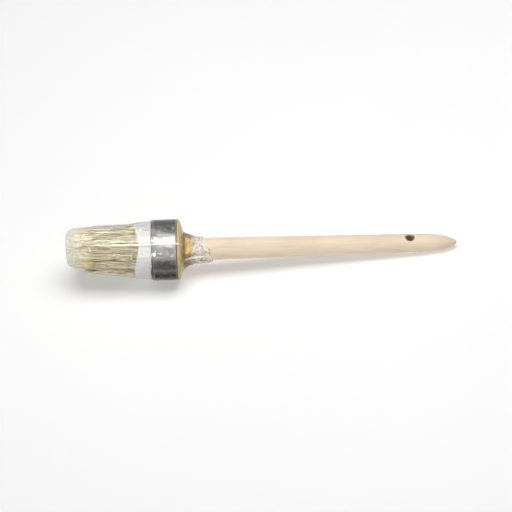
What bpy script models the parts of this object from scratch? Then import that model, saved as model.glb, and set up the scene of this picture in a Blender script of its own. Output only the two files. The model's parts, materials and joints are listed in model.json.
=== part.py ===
"""Round paint brush with a thread-bound bristle head, still in its clear shrink-wrap film.

Blender 4.5 script, in metres, +Z up. The brush lies along X: the flat front of the wrapped
bristles is at x = 0, the handle points along +X, and the hang hole is drilled along Z.
"""

import math

import bmesh
import bpy
import numpy as np
from mathutils import Vector

MM = 0.001

# Driving dimensions
OVERALL_LENGTH = 260.5 * MM
FERRULE_RADIUS = 20.0 * MM
HANDLE_NECK_RADIUS = 7.75 * MM
HANDLE_TAIL_RADIUS = 6.0 * MM
THREAD_DIAMETER = 0.55 * MM
HANG_HOLE_RADIUS = 3.0 * MM

# Clearance between pieces that touch on the real brush
GAP = 0.3 * MM

# Stations along the axis, from the film's front face
FILM_WALL = 0.2 * MM
BRISTLE_FACE_X = FILM_WALL + GAP
WINDING_FRONT_X = 46.4 * MM
WINDING_REAR_X = 55.4 * MM
FERRULE_X = 57.0 * MM
FERRULE_LENGTH = 16.6 * MM
BUTT_X = 69.5 * MM
CAP_RIM_X = FERRULE_X + FERRULE_LENGTH + GAP
CAP_COLLAR_END_X = 83.5 * MM
HEAD_FACE_X = 58.3 * MM
CONE_END_X = 74.7 * MM
FILM_END_X = 98.0 * MM
HANG_HOLE_X = 229.5 * MM
TAIL_START_X = 236.0 * MM

# Ferrule: sheet-metal ring with a rolled bead and a groove at its mouth
SHEET = 0.5 * MM
BEAD_RADIUS = 0.65 * MM
BEAD_CENTRE_RADIUS = FERRULE_RADIUS - 0.85 * MM
GROOVE_DEPTH = 0.4 * MM
FERRULE_BORE = FERRULE_RADIUS - SHEET

# Handle head: a wedge-shaped cone that spreads the bristles against the ferrule
HEAD_RADIUS = 11.5 * MM
HEAD_CHAMFER = 0.6 * MM

# End cap: plastic rim and shoulder, a spigot inside the ferrule, and a collar on the handle
CAP_SPIGOT_X = 71.0 * MM
CAP_CAVITY_RADIUS = 17.6 * MM
CAP_FLOOR_X = 75.0 * MM
CAP_EDGE_RADIUS = 1.3 * MM
CAP_SHOULDER = (77.2 * MM, 13.2 * MM)
CAP_THROAT = (78.0 * MM, 11.2 * MM)
CAP_COLLAR_RADIUS = 9.0 * MM

# Bristles: radius at a few stations between the flat tip and the ferrule's mouth
BRISTLE_TIP_RADIUS = 9.0 * MM
BRISTLE_STATIONS = (
    (BRISTLE_FACE_X + 0.2 * MM, 9.6 * MM),
    (4.5 * MM, 12.7 * MM),
    (18.0 * MM, 15.6 * MM),
    (43.0 * MM, 17.1 * MM),
    (FERRULE_X, 18.2 * MM),
)
RESERVOIR_APEX_X = 34.0 * MM

# Thread binding: the turns draw together where the lashing crosses them, at the seam's angle
TURNS = 13
PINCH = 0.15
SEAM_ANGLE = math.radians(33)
LOOSE_END_ANGLE = math.radians(79)
LOOSE_END_REACH = 2.4 * MM
LOOSE_END_BEND = 0.9 * MM
LASHING_HALF_WIDTH = 0.45 * MM
LASHING_FRONT_X = WINDING_FRONT_X + 0.4 * MM
LASHING_REAR_X = WINDING_REAR_X + 0.9 * MM
LASHING_TURN_REACH = 0.45 * MM

# Film: a raised seam runs along it over the lashing
SEAM_HEIGHT = 1.15 * MM
SEAM_TOP = math.radians(3)
SEAM_FOOT = math.radians(6)
SEAM_FADE = (2.0 * MM, 8.0 * MM)
SEAM_WARP = 0.55
FILM_NECK_RADIUS = 8.45 * MM
FILM_SLACK = 0.25 * MM

# Resolution
ROUND_STEPS = 40
FERRULE_STEPS = 48
FILM_STEPS = 40
WINDING_POINTS_PER_TURN = 20
MERGE = 0.00001


def clear_scene():
    for obj in list(bpy.data.objects):
        bpy.data.objects.remove(obj)


def new_collection(name):
    collection = bpy.data.collections.new(name)
    bpy.context.scene.collection.children.link(collection)
    return collection


def finish(name, colour, roughness, metallic=0.0, alpha=1.0):
    """A Principled material."""
    material = bpy.data.materials.new(name)
    material.use_nodes = True
    shader = material.node_tree.nodes["Principled BSDF"]
    shader.inputs["Base Color"].default_value = (*colour, 1.0)
    shader.inputs["Roughness"].default_value = roughness
    shader.inputs["Metallic"].default_value = metallic
    shader.inputs["Alpha"].default_value = alpha
    return material


def smooth_step(value, low, high):
    """0 at low, 1 at high, with a smooth rise between. low may be the larger."""
    share = min(1.0, max(0.0, (value - low) / (high - low)))
    return share * share * (3 - 2 * share)


def arc(centre, radius, start, end, steps):
    """Points (x, r) on an arc, with angles in degrees from +x towards +r."""
    angles = np.radians(np.linspace(start, end, steps + 1))
    return [(centre[0] + radius * math.cos(a), centre[1] + radius * math.sin(a)) for a in angles]


def smooth_through(points, per_span):
    """A Catmull-Rom curve through the points, as a denser list."""
    ends = [points[0], *points, points[-1]]
    curve = []
    for i in range(1, len(ends) - 2):
        a, b, c, d = (np.array(p) for p in ends[i - 1 : i + 3])
        for t in np.linspace(0, 1, per_span, endpoint=False):
            tangent = (c - a) * t + (2 * a - 5 * b + 4 * c - d) * t**2 + (3 * b - a - 3 * c + d) * t**3
            curve.append(tuple(b + tangent / 2))
    return [*curve, points[-1]]


def turned(name, outline, front_x, material, steps=ROUND_STEPS, ring=False):
    """A shape turned round X from an outline of (x, r). A ring's outline closes on itself."""
    mesh = bpy.data.meshes.new(name)
    points = [(x - front_x, 0.0, r) for x, r in outline]
    edges = [(i, i + 1) for i in range(len(points) - 1)]
    if ring:
        edges.append((len(points) - 1, 0))
    mesh.from_pydata(points, edges, [])
    obj = bpy.data.objects.new(name, mesh)
    obj.location.x = front_x
    obj.data.materials.append(material)
    screw = obj.modifiers.new("Turn", "SCREW")
    screw.axis = "X"
    screw.steps = screw.render_steps = steps
    screw.use_merge_vertices = True
    screw.merge_threshold = MERGE
    screw.use_normal_flip = True
    screw.use_smooth_shade = True
    return obj


def thread(name, points, material, cyclic=False):
    """A round thread along the points, as a bevelled curve."""
    curve = bpy.data.curves.new(name, "CURVE")
    curve.dimensions = "3D"
    curve.bevel_depth = THREAD_DIAMETER / 2
    curve.bevel_resolution = 2
    curve.use_fill_caps = not cyclic
    spline = curve.splines.new("POLY")
    spline.points.add(len(points) - 1)
    spline.use_cyclic_u = cyclic
    for knot, point in zip(spline.points, points):
        knot.co = (*point, 1.0)
    curve.materials.append(material)
    return bpy.data.objects.new(name, curve)


def on_head(x, radius, angle):
    """A point round the axis, at an angle from +Z towards -Y."""
    return Vector((x, -radius * math.sin(angle), radius * math.cos(angle)))


def bristle_curve():
    return smooth_through(BRISTLE_STATIONS, 2)


def bristle_radius(x):
    stations, radii = zip(*bristle_curve())
    return float(np.interp(x, stations, radii))


def cone_radius(x):
    """The handle's radius along the cone between its head and its neck."""
    share = (CONE_END_X - x) / (CONE_END_X - HEAD_FACE_X)
    return HANDLE_NECK_RADIUS + (HEAD_RADIUS - HANDLE_NECK_RADIUS) * share


def winding_radius(x):
    """The winding's centreline radius."""
    return bristle_radius(x) + GAP + THREAD_DIAMETER / 2


def handle(material, cutters):
    """Turned beech handle: wedge head, tapered grip, rounded tail and hang hole."""
    tail = smooth_through(
        (
            (TAIL_START_X, HANDLE_TAIL_RADIUS),
            (246.5 * MM, 5.4 * MM),
            (251.5 * MM, 4.65 * MM),
            (256.0 * MM, 3.1 * MM),
            (259.4 * MM, 1.5 * MM),
            (OVERALL_LENGTH, 0.0),
        ),
        3,
    )
    outline = [
        (HEAD_FACE_X, 0.0),
        (HEAD_FACE_X, HEAD_RADIUS - HEAD_CHAMFER),
        (HEAD_FACE_X + HEAD_CHAMFER, cone_radius(HEAD_FACE_X + HEAD_CHAMFER)),
        (CONE_END_X, HANDLE_NECK_RADIUS),
        (FILM_END_X, HANDLE_NECK_RADIUS),
        *tail,
    ]
    obj = turned("handle", outline, HEAD_FACE_X, material)

    bpy.ops.mesh.primitive_cylinder_add(
        vertices=32,
        radius=HANG_HOLE_RADIUS,
        depth=4 * HANDLE_NECK_RADIUS,
        location=(HANG_HOLE_X, 0, 0),
    )
    drill = bpy.context.object
    drill.name = "hang_hole_drill"
    drill.hide_render = True
    drill.display_type = "WIRE"
    for collection in list(drill.users_collection):
        collection.objects.unlink(drill)
    cutters.objects.link(drill)

    cut = obj.modifiers.new("Hang hole", "BOOLEAN")
    cut.operation = "DIFFERENCE"
    cut.solver = "EXACT"
    cut.object = drill
    return obj


def ferrule_outline():
    """The ferrule's outer surface, from the inner edge of its bead to its rear edge."""
    bead_centre = (FERRULE_X + BEAD_RADIUS, BEAD_CENTRE_RADIUS)
    groove_x = FERRULE_X + 2.2 * BEAD_RADIUS
    return [
        *arc(bead_centre, BEAD_RADIUS, 250, 60, 5),
        (groove_x, FERRULE_RADIUS - GROOVE_DEPTH),
        (groove_x + GROOVE_DEPTH, FERRULE_RADIUS - GROOVE_DEPTH / 2),
        (groove_x + 2 * GROOVE_DEPTH, FERRULE_RADIUS),
        (FERRULE_X + FERRULE_LENGTH, FERRULE_RADIUS),
    ]


def ferrule(material):
    """Thin metal ring. Its wall is a Solidify inwards from the outer surface."""
    obj = turned("ferrule", ferrule_outline(), FERRULE_X, material, steps=FERRULE_STEPS)
    wall = obj.modifiers.new("Sheet", "SOLIDIFY")
    wall.thickness = SHEET
    wall.offset = -1
    return obj


def end_cap_outline():
    """The cap's visible surface, from the front of its rim to the end of its collar."""
    edge_x = CAP_RIM_X + 1.0 * MM
    return [
        (CAP_RIM_X, FERRULE_RADIUS),
        *arc((edge_x, FERRULE_RADIUS - CAP_EDGE_RADIUS), CAP_EDGE_RADIUS, 90, 10, 3),
        CAP_SHOULDER,
        CAP_THROAT,
        (CAP_THROAT[0] + 1.5 * MM, CAP_THROAT[1] - 1.1 * MM),
        (CAP_COLLAR_END_X, CAP_COLLAR_RADIUS),
    ]


def end_cap(material):
    """Moulded plastic cap. Its spigot sits in the ferrule and its cavity holds the compound."""
    spigot_radius = FERRULE_BORE - GAP
    bore = HANDLE_NECK_RADIUS + GAP
    outline = [
        (CAP_SPIGOT_X, CAP_CAVITY_RADIUS),
        (CAP_SPIGOT_X, spigot_radius),
        (CAP_RIM_X, spigot_radius),
        *end_cap_outline(),
        (CAP_COLLAR_END_X, bore),
        (CAP_FLOOR_X, bore),
        (CAP_FLOOR_X, CAP_CAVITY_RADIUS),
    ]
    return turned("end_cap", outline, CAP_SPIGOT_X, material, ring=True)


def setting_compound(material):
    """Cast resin that bonds the bristles' butt ends to the cap and the handle's cone."""
    front, rear = BUTT_X + GAP, CAP_FLOOR_X - GAP
    outer = CAP_CAVITY_RADIUS - GAP
    outline = [
        (front, cone_radius(front) + GAP),
        (front, outer),
        (rear, outer),
        (rear, HANDLE_NECK_RADIUS + GAP),
    ]
    return turned("setting_compound", outline, front, material, ring=True)


def bristle_pack(material):
    """The bristles as one solid: a ring round the handle's cone that closes up to a flat tip."""
    packed = FERRULE_BORE - GAP
    outline = [
        (BRISTLE_FACE_X, 0.0),
        (BRISTLE_FACE_X, BRISTLE_TIP_RADIUS),
        *bristle_curve(),
        (FERRULE_X + 3 * BEAD_RADIUS, FERRULE_RADIUS - 1.8 * MM),
        (FERRULE_X + 5 * BEAD_RADIUS, packed),
        (BUTT_X, packed),
        (BUTT_X, cone_radius(BUTT_X) + GAP),
        (HEAD_FACE_X - GAP, HEAD_RADIUS + GAP),
        (RESERVOIR_APEX_X, 0.0),
    ]
    return turned("bristle_pack", outline, BRISTLE_FACE_X, material)


def pinched(x, angle):
    """Where the winding passes at this angle: its front turns draw back at the lashing."""
    nearness = ((1 + math.cos(angle - SEAM_ANGLE)) / 2) ** 2
    return WINDING_REAR_X - (WINDING_REAR_X - x) * (1 - PINCH * nearness)


def binding_winding(material):
    """White thread wound round the bristles, with its loose end turned out at the front edge."""
    front_x = pinched(WINDING_FRONT_X, LOOSE_END_ANGLE)
    radius = winding_radius(front_x)
    points = [on_head(front_x - LOOSE_END_REACH, radius, LOOSE_END_ANGLE)]
    for bend in np.radians((0, 30, 60)):
        x = front_x - LOOSE_END_BEND * (1 - math.sin(bend))
        angle = LOOSE_END_ANGLE + LOOSE_END_BEND * (1 - math.cos(bend)) / radius
        points.append(on_head(x, radius, angle))
    lead = LOOSE_END_BEND / radius
    for i in range(TURNS * WINDING_POINTS_PER_TURN + 1):
        turn = i / WINDING_POINTS_PER_TURN
        angle = LOOSE_END_ANGLE + lead + math.tau * turn
        even_x = WINDING_FRONT_X + (WINDING_REAR_X - WINDING_FRONT_X) * turn / TURNS
        x = pinched(even_x, angle)
        points.append(on_head(x, winding_radius(x), angle))
    return thread("binding_winding", points, material)


def binding_lashing(material):
    """A closed loop of thread that crosses the winding and dips at both of its edges."""
    over = THREAD_DIAMETER + GAP
    crossing = [(x, over) for x in np.linspace(LASHING_FRONT_X + 1.2 * MM, WINDING_REAR_X - 0.3 * MM, 6)]
    side = [(LASHING_FRONT_X + 0.3 * MM, 0.45 * over), *crossing, (LASHING_REAR_X - 0.35 * MM, 0.5 * over)]
    half = LASHING_HALF_WIDTH
    loop = [(x, rise, -half) for x, rise in side]
    loop.append((LASHING_REAR_X, 0.0, 0.0))
    loop += [(x, rise, half) for x, rise in reversed(side)]
    loop.append((LASHING_FRONT_X - LASHING_TURN_REACH, 0.0, 0.0))
    points = []
    for x, rise, aside in loop:
        radius = winding_radius(x) + rise
        points.append(on_head(x, radius, SEAM_ANGLE + aside / radius))
    return thread("binding_lashing", points, material, cyclic=True)


def film_outline():
    """What the film covers, moved out by the clearance: tip, bristles, winding, ferrule, cap, neck."""
    tip = [(x - GAP * 0.4, r + GAP) for x, r in bristle_curve()[1:] if x < WINDING_FRONT_X - 2 * MM]
    thread_top = THREAD_DIAMETER / 2 + GAP + FILM_SLACK
    band = [
        (x, winding_radius(x) + thread_top)
        for x in (WINDING_FRONT_X - 0.5 * MM, WINDING_REAR_X + 0.4 * MM)
    ]
    ferrule_top = FERRULE_RADIUS + GAP
    cap = [(x + GAP * 0.9, r + GAP * 0.7) for x, r in end_cap_outline()[2:]]
    return [
        (FILM_WALL, 0.0),
        (FILM_WALL, BRISTLE_TIP_RADIUS + GAP / 2),
        *tip,
        *band,
        (FERRULE_X - 0.1 * MM, ferrule_top - 0.45 * MM),
        (FERRULE_X + 3 * BEAD_RADIUS, ferrule_top),
        (CAP_RIM_X + 1.0 * MM, ferrule_top),
        *cap,
        (CAP_COLLAR_END_X + 4.5 * MM, FILM_NECK_RADIUS + 0.3 * MM),
        (FILM_END_X, FILM_NECK_RADIUS),
    ]


def raise_seam(mesh, front_x):
    """Gathers the mesh's length lines at the seam and lifts them into a ridge."""
    for vertex in mesh.vertices:
        radius = math.hypot(vertex.co.y, vertex.co.z)
        if radius < MERGE:
            continue
        away = (math.atan2(-vertex.co.y, vertex.co.z) - SEAM_ANGLE + math.pi) % math.tau - math.pi
        away -= SEAM_WARP * math.sin(away)
        fade = smooth_step(vertex.co.x + front_x, *SEAM_FADE)
        lift = SEAM_HEIGHT * fade * smooth_step(abs(away), SEAM_FOOT, SEAM_TOP)
        vertex.co = on_head(vertex.co.x, radius + lift, SEAM_ANGLE + away)


def film_sleeve(material, collection):
    """Clear shrink-wrap bag, closed over the bristles' tip and open at the handle's neck."""
    outline = film_outline()
    form = turned("film_form", outline, FILM_WALL, material, steps=FILM_STEPS)
    collection.objects.link(form)
    bpy.context.view_layer.update()
    evaluated = form.evaluated_get(bpy.context.evaluated_depsgraph_get())
    mesh = bpy.data.meshes.new_from_object(evaluated)
    bpy.data.objects.remove(form)
    mesh.name = "film_sleeve"

    shape = bmesh.new()
    shape.from_mesh(mesh)
    bmesh.ops.remove_doubles(shape, verts=shape.verts, dist=MERGE)
    shape.to_mesh(mesh)
    shape.free()
    raise_seam(mesh, FILM_WALL)

    obj = bpy.data.objects.new("film_sleeve", mesh)
    obj.location.x = FILM_WALL
    wall = obj.modifiers.new("Film", "SOLIDIFY")
    wall.thickness = FILM_WALL
    wall.offset = 1
    return obj


def main():
    clear_scene()
    brush = new_collection("round_paint_brush")
    cutters = new_collection("cutters")

    beech = finish("beech", (0.84, 0.69, 0.49), 0.62)
    tinplate = finish("tinplate", (0.72, 0.71, 0.68), 0.22, metallic=1.0)
    yellow_plastic = finish("yellow_plastic", (0.78, 0.52, 0.10), 0.35)
    resin = finish("resin", (0.48, 0.26, 0.07), 0.3)
    bristle = finish("bristle", (0.60, 0.53, 0.36), 0.5)
    cotton = finish("cotton", (0.86, 0.84, 0.80), 0.85)
    film = finish("film", (0.92, 0.92, 0.92), 0.12, alpha=0.25)

    pieces = [
        handle(beech, cutters),
        ferrule(tinplate),
        end_cap(yellow_plastic),
        setting_compound(resin),
        bristle_pack(bristle),
        binding_winding(cotton),
        binding_lashing(cotton),
        film_sleeve(film, brush),
    ]
    axis = bpy.data.objects.new("brush_axis", None)
    brush.objects.link(axis)
    for piece in pieces:
        brush.objects.link(piece)
        piece.parent = axis


main()
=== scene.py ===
"""Looks for a round brush in its clear shrink-wrap film: bristles, thread, metal, plastic, wood and film.

The brush lies along X with its tip at x = 0. Angles round it run from +Z towards -Y.
"""

import json
import math

import bmesh
import bpy
import numpy as np
from mathutils import Matrix, Vector


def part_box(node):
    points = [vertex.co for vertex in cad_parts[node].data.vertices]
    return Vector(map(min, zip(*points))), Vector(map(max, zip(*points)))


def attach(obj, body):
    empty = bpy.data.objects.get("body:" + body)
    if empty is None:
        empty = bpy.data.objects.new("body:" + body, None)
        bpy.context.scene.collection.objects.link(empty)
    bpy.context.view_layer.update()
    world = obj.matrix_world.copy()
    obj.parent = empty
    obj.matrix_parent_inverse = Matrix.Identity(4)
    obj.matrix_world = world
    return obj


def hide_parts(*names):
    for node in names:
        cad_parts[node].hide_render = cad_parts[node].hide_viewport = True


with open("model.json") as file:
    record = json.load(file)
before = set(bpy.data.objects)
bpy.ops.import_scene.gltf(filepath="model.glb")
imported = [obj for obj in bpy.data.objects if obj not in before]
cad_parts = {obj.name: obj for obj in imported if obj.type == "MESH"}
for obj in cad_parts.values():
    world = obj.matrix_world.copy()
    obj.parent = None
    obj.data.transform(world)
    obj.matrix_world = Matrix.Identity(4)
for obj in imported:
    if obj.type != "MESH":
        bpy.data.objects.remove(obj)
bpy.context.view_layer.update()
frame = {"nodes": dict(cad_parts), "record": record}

MM = 0.001
ROOT = "root"

# The camera looks down on the brush at this height above the horizon, square to its axis. The bundle
# leans, and the film's mouth is cut slantwise, towards the side that is upper in that view.
VIEW_ELEVATION = math.radians(46)
UP_ANGLE = -VIEW_ELEVATION
VIEW_ROLL = math.radians(1.63)
VIEW_WIDTH = 341.3 * MM
VIEW_MIDDLE_X = 126.7 * MM
VIEW_MIDDLE_DROP = 5.7 * MM

# Places taken from the CAD model
FERRULE_LOW, FERRULE_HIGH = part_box("ferrule")
CAP_LOW, CAP_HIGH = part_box("end_cap")
HANDLE_LOW, HANDLE_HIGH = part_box("handle")
BRISTLE_FRONT_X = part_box("bristle_pack")[0].x
HANG_HOLE_X = next(m["pos_m"][0] for m in frame["record"]["mounts"] if m["name"] == "hang_hole")
FERRULE_RADIUS = FERRULE_HIGH.z
FERRULE_X = FERRULE_LOW.x

# The CAD model's angles for the film's seam, which the lashing shares, and for the thread's loose end
SEAM_ANGLE = math.radians(33)
LOOSE_END_ANGLE = math.radians(79)

# Handle
HANG_HOLE_RADIUS = 3.0 * MM
HEAD_RADIUS = 11.5 * MM
NECK_RADIUS = 7.75 * MM
TAIL_RADIUS = 6.0 * MM
TAIL_LENGTH = 24.5 * MM
# The tail's rounded end: how far from the very end, and the radius there, in millimetres
TAIL_END = ((14.0, 5.4), (9.0, 4.65), (4.5, 3.15), (1.2, 1.6), (0.1, 0.35))

# Bristle bundle: its radius at some stations, how it is trimmed to a dome, and how it leans
BUNDLE = ((0.0, 15.3), (19.0, 15.7), (30.0, 16.2), (43.0, 17.1), (57.0, 18.1), (62.0, 19.1), (70.0, 19.2))
DOME_OFF_CENTRE = 4.5 * MM
DOME_DEPTH = 18.5 * MM
DOME_POWER = 7.6
LEAN = 2.1 * MM
LEAN_FROM_X = FERRULE_X
LEAN_POWER = 1.5

# Bristles: strands and clumps, the share of the radius outside which they show all the way back, where
# those end, how long the others are, and how many loose ones lie across them
STRANDS = 4300
CLUMPS = 700
OUTER_SHARE = 0.86
OUTER_END_X = 61 * MM
INNER_LENGTH = 17 * MM
STRAYS = 170

# Thread
THREAD_RADIUS = 0.275 * MM
TURNS = 16
PILE = 0.3 * MM
PINCH = 0.26
WAIST_SPREAD = math.radians(30)
WINDING_FRONT_X = 46.0 * MM
WINDING_REAR_X = 56.75 * MM

# Lights
LIGHT_DISTANCE = 0.9
BRUSH_MIDDLE_X = 0.12


# ---------------- numbers and shapes


def lattice_noise(points, seed):
    """Smooth random values from -1 to 1 at an array of points, with cells one unit wide."""
    cell = np.floor(points).astype(np.int64)
    part = points - cell
    part = part * part * (3 - 2 * part)
    total = np.zeros(points.shape[:-1])
    for corner in np.ndindex(2, 2, 2):
        at = cell + np.array(corner)
        mixed = at[..., 0] * 73856093 ^ at[..., 1] * 19349663 ^ at[..., 2] * 83492791 ^ (seed * 40503 + 977)
        mixed = (mixed ^ (mixed >> 13)) * 1274126177
        mixed = (mixed ^ (mixed >> 16)) & 0xFFFF
        weight = np.prod(np.where(corner, part, 1 - part), axis=-1)
        total += (mixed / 32767.5 - 1) * weight
    return total


def noise_at(points, cell, seed):
    """lattice_noise in cells of a size in millimetres, one number or one for each axis."""
    return lattice_noise(points / (np.array(cell) * MM), seed)


def crest(noise, sharpness):
    """1 along the lines where noise changes sign, falling away to 0 on both sides."""
    return (1 - np.minimum(1, np.abs(noise) * 1.6)) ** sharpness


def rise(value, low, high):
    """0 at low, 1 at high, with a smooth rise between. low may be the larger."""
    share = np.clip((value - low) / (high - low), 0, 1)
    return share * share * (3 - 2 * share)


def rise_mm(value, low, high):
    """rise() with low and high in millimetres."""
    return rise(value, low * MM, high * MM)


def smooth_through(points, step):
    """Points along a Catmull-Rom curve through the given ones, about step apart."""
    points = np.array(points, float)
    ends = np.vstack([points[0], points, points[-1]])
    curve = []
    for a, b, c, d in zip(ends, ends[1:], ends[2:], ends[3:]):
        count = max(1, round(float(np.linalg.norm((c - b)[:2])) / step))
        for t in np.linspace(0, 1, count, endpoint=False):
            bend = (c - a) * t + (2 * a - 5 * b + 4 * c - d) * t**2 + (3 * b - a - 3 * c + d) * t**3
            curve.append(b + bend / 2)
    curve.append(points[-1])
    return np.array(curve)


def outward(angle):
    """Unit vectors across the brush at angles from +Z towards -Y."""
    angle = np.asarray(angle, float)
    return np.stack([np.zeros_like(angle), -np.sin(angle), np.cos(angle)], axis=-1)


def away_from(angle, centre):
    """The signed difference between angles, from -pi to pi."""
    return (angle - centre + math.pi) % math.tau - math.pi


def lean(x):
    """How far the bundle's centre has moved towards the view's upper side."""
    share = np.clip((LEAN_FROM_X - x) / LEAN_FROM_X, 0, None)
    return LEAN * share**LEAN_POWER


def bundle_radius(x):
    """The bundle's radius at x, before the dome is trimmed."""
    stations, radii = np.array(BUNDLE).T * MM
    return np.interp(x, stations, radii)


def new_object(name, verts, faces, material, body=ROOT):
    """A smooth-shaded mesh object that rides on a body."""
    mesh = bpy.data.meshes.new(name)
    mesh.from_pydata(np.asarray(verts).tolist(), [], [tuple(f) for f in faces])
    mesh.validate()
    mesh.shade_smooth()
    if material is not None:
        mesh.materials.append(material)
    obj = bpy.data.objects.new(name, mesh)
    bpy.context.scene.collection.objects.link(obj)
    if body:
        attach(obj, body)
    return obj


def grid_faces(rows, columns):
    """Quads of a grid whose columns close into a ring, facing out when rows run along +X."""
    row, column = np.meshgrid(np.arange(rows - 1), np.arange(columns), indexing="ij")
    following = (column + 1) % columns
    a = row * columns + column
    b = row * columns + following
    return np.stack([a, b, b + columns, a + columns], axis=-1).reshape(-1, 4)


def ring_faces_closed(verts, faces, columns, rear=True):
    """Closes the first ring, and the last one if rear, with a point at its middle and triangles to it."""
    verts = list(verts)
    faces = [tuple(int(i) for i in f) for f in faces]
    last = len(verts) // columns - 1
    for row in (0, last) if rear else (0,):
        ring = range(row * columns, (row + 1) * columns)
        verts.append(np.mean([verts[i] for i in ring], axis=0))
        at = len(verts) - 1
        for i in range(columns):
            pair = (ring[i], ring[(i + 1) % columns])
            faces.append((at, *pair) if row else (at, *reversed(pair)))
    return verts, faces


def swept(outline, columns, wobble=None):
    """Rings of points from an outline of (x, r) turned round X. wobble(points) changes the radius."""
    outline = np.array(outline, float)
    angles = np.linspace(0, math.tau, columns, endpoint=False)
    points = outward(angles)[None] * outline[:, 1, None, None]
    points[..., 0] = outline[:, :1]
    if wobble is not None:
        points += outward(angles)[None] * wobble(points)[..., None]
    return points


def turned(name, outline, columns, material, wobble=None):
    """A closed shape turned round X."""
    points = swept(outline, columns, wobble)
    faces = grid_faces(len(points), columns)
    verts, faces = ring_faces_closed(points.reshape(-1, 3), faces, columns)
    return new_object(name, verts, faces, material)


def turned_ring(name, outline, columns, material, wobble=None):
    """A ring turned round X, whose section is the closed outline."""
    points = swept(outline, columns, wobble)
    faces = grid_faces(len(points) + 1, columns) % (len(points) * columns)
    return new_object(name, points.reshape(-1, 3), faces, material)


def face_outward(obj):
    """Turns the faces of a closed mesh to face out."""
    shape = bmesh.new()
    shape.from_mesh(obj.data)
    bmesh.ops.recalc_face_normals(shape, faces=shape.faces)
    shape.to_mesh(obj.data)
    shape.free()


def arc(centre, radius, start, end, steps):
    """Points (x, r) on an arc, with angles in degrees from +x towards +r."""
    angles = np.radians(np.linspace(start, end, steps + 1))
    return [(centre[0] + radius * math.cos(a), centre[1] + radius * math.sin(a)) for a in angles]


def along(outline, step):
    """The outline with points added so that none are further apart than step."""
    points = [outline[0]]
    for a, b in zip(outline, outline[1:]):
        count = max(1, math.ceil(math.dist(a, b) / step))
        points += [tuple(np.array(a) + (np.array(b) - np.array(a)) * i / count) for i in range(1, count + 1)]
    return points


def store(obj, name, values):
    """A number for each vertex, for a material to read."""
    layer = obj.data.attributes.new(name, "FLOAT", "POINT")
    layer.data.foreach_set("value", np.asarray(values, np.float32).reshape(-1))


# ---------------- materials


class Nodes:
    """Short ways to build the node tree of a new material or world."""

    def __init__(self, name, kind="Material"):
        self.made = (bpy.data.worlds if kind == "World" else bpy.data.materials).new(name)
        self.made.use_nodes = True
        self.tree = self.made.node_tree
        self.tree.nodes.clear()
        self.output = self.add("ShaderNodeOutput" + kind)

    def add(self, kind, **inputs):
        """A node, with its inputs as set() takes them."""
        node = self.tree.nodes.new(kind)
        for key, value in inputs.items():
            self.set(node, key, value)
        return node

    def set(self, node, key, value):
        """Sets an input by its name, or by its number as _0, or links another node's output to it."""
        socket = node.inputs[int(key[1:])] if key[0] == "_" else node.inputs[key.replace("_", " ")]
        if isinstance(value, bpy.types.NodeSocket):
            self.tree.links.new(value, socket)
        elif isinstance(value, tuple) and len(value) == 3 and socket.type == "RGBA":
            socket.default_value = (*value, 1.0)
        else:
            socket.default_value = value

    def place(self, scale=(1, 1, 1)):
        """The point on the object in metres, times a scale."""
        coordinates = self.add("ShaderNodeTexCoord")
        mapping = self.add("ShaderNodeMapping", Vector=coordinates.outputs["Object"], Scale=scale)
        return mapping.outputs[0]

    def noise(self, scale, detail=3.0, roughness=0.5, distortion=0.0):
        """Noise with so many cells a metre along each axis."""
        node = self.add("ShaderNodeTexNoise", Vector=self.place(scale), Scale=1.0, Detail=detail)
        self.set(node, "Roughness", roughness)
        self.set(node, "Distortion", distortion)
        return node.outputs["Fac"]

    def attribute(self, name):
        """A number that store() kept for each vertex."""
        node = self.add("ShaderNodeAttribute")
        node.attribute_name = name
        return node.outputs["Fac"]

    def ramp(self, value, *stops):
        """A colour ramp from (position, colour) stops."""
        node = self.add("ShaderNodeValToRGB", Fac=value)
        elements = node.color_ramp.elements
        while len(elements) < len(stops):
            elements.new(0.5)
        for element, (position, colour) in zip(elements, stops):
            element.position = position
            element.color = (*colour, 1.0) if isinstance(colour, tuple) else (colour, colour, colour, 1.0)
        return node.outputs["Color"]

    def maths(self, operation, a, b=0.0, c=0.5, clamp=False):
        """The result of a Math node."""
        node = self.add("ShaderNodeMath", _0=a, _1=b, _2=c)
        node.operation = operation
        node.use_clamp = clamp
        return node.outputs[0]

    def span(self, value, low, high, new_low=0.0, new_high=1.0):
        """Takes low to new_low and high to new_high, evenly between them."""
        node = self.add("ShaderNodeMapRange", Value=value)
        for key, number in (("_1", low), ("_2", high), ("_3", new_low), ("_4", new_high)):
            self.set(node, key, number)
        return node.outputs["Result"]

    def blend(self, factor, a, b):
        """Colour a at factor 0, b at 1, mixed between."""
        node = self.add("ShaderNodeMix")
        node.data_type = "RGBA"
        for key, value in (("_0", factor), ("_6", a), ("_7", b)):
            self.set(node, key, value)
        return node.outputs[2]

    def bump(self, height, distance, strength):
        """Normals that follow a height, at so many metres for a height of 1."""
        return self.add("ShaderNodeBump", Height=height, Distance=distance, Strength=strength).outputs[0]

    def shader(self, kind="ShaderNodeBsdfPrincipled", **inputs):
        return self.add(kind, **inputs).outputs[0]

    def mix_shaders(self, factor, a, b):
        return self.add("ShaderNodeMixShader", _0=factor, _1=a, _2=b).outputs[0]

    def solid(self, **inputs):
        """The finished material, when it is all one shader."""
        return self.finish(self.shader(**inputs))

    def finish(self, surface):
        """The material or world, with its surface in place."""
        self.set(self.output, "Surface", surface)
        return self.made


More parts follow.
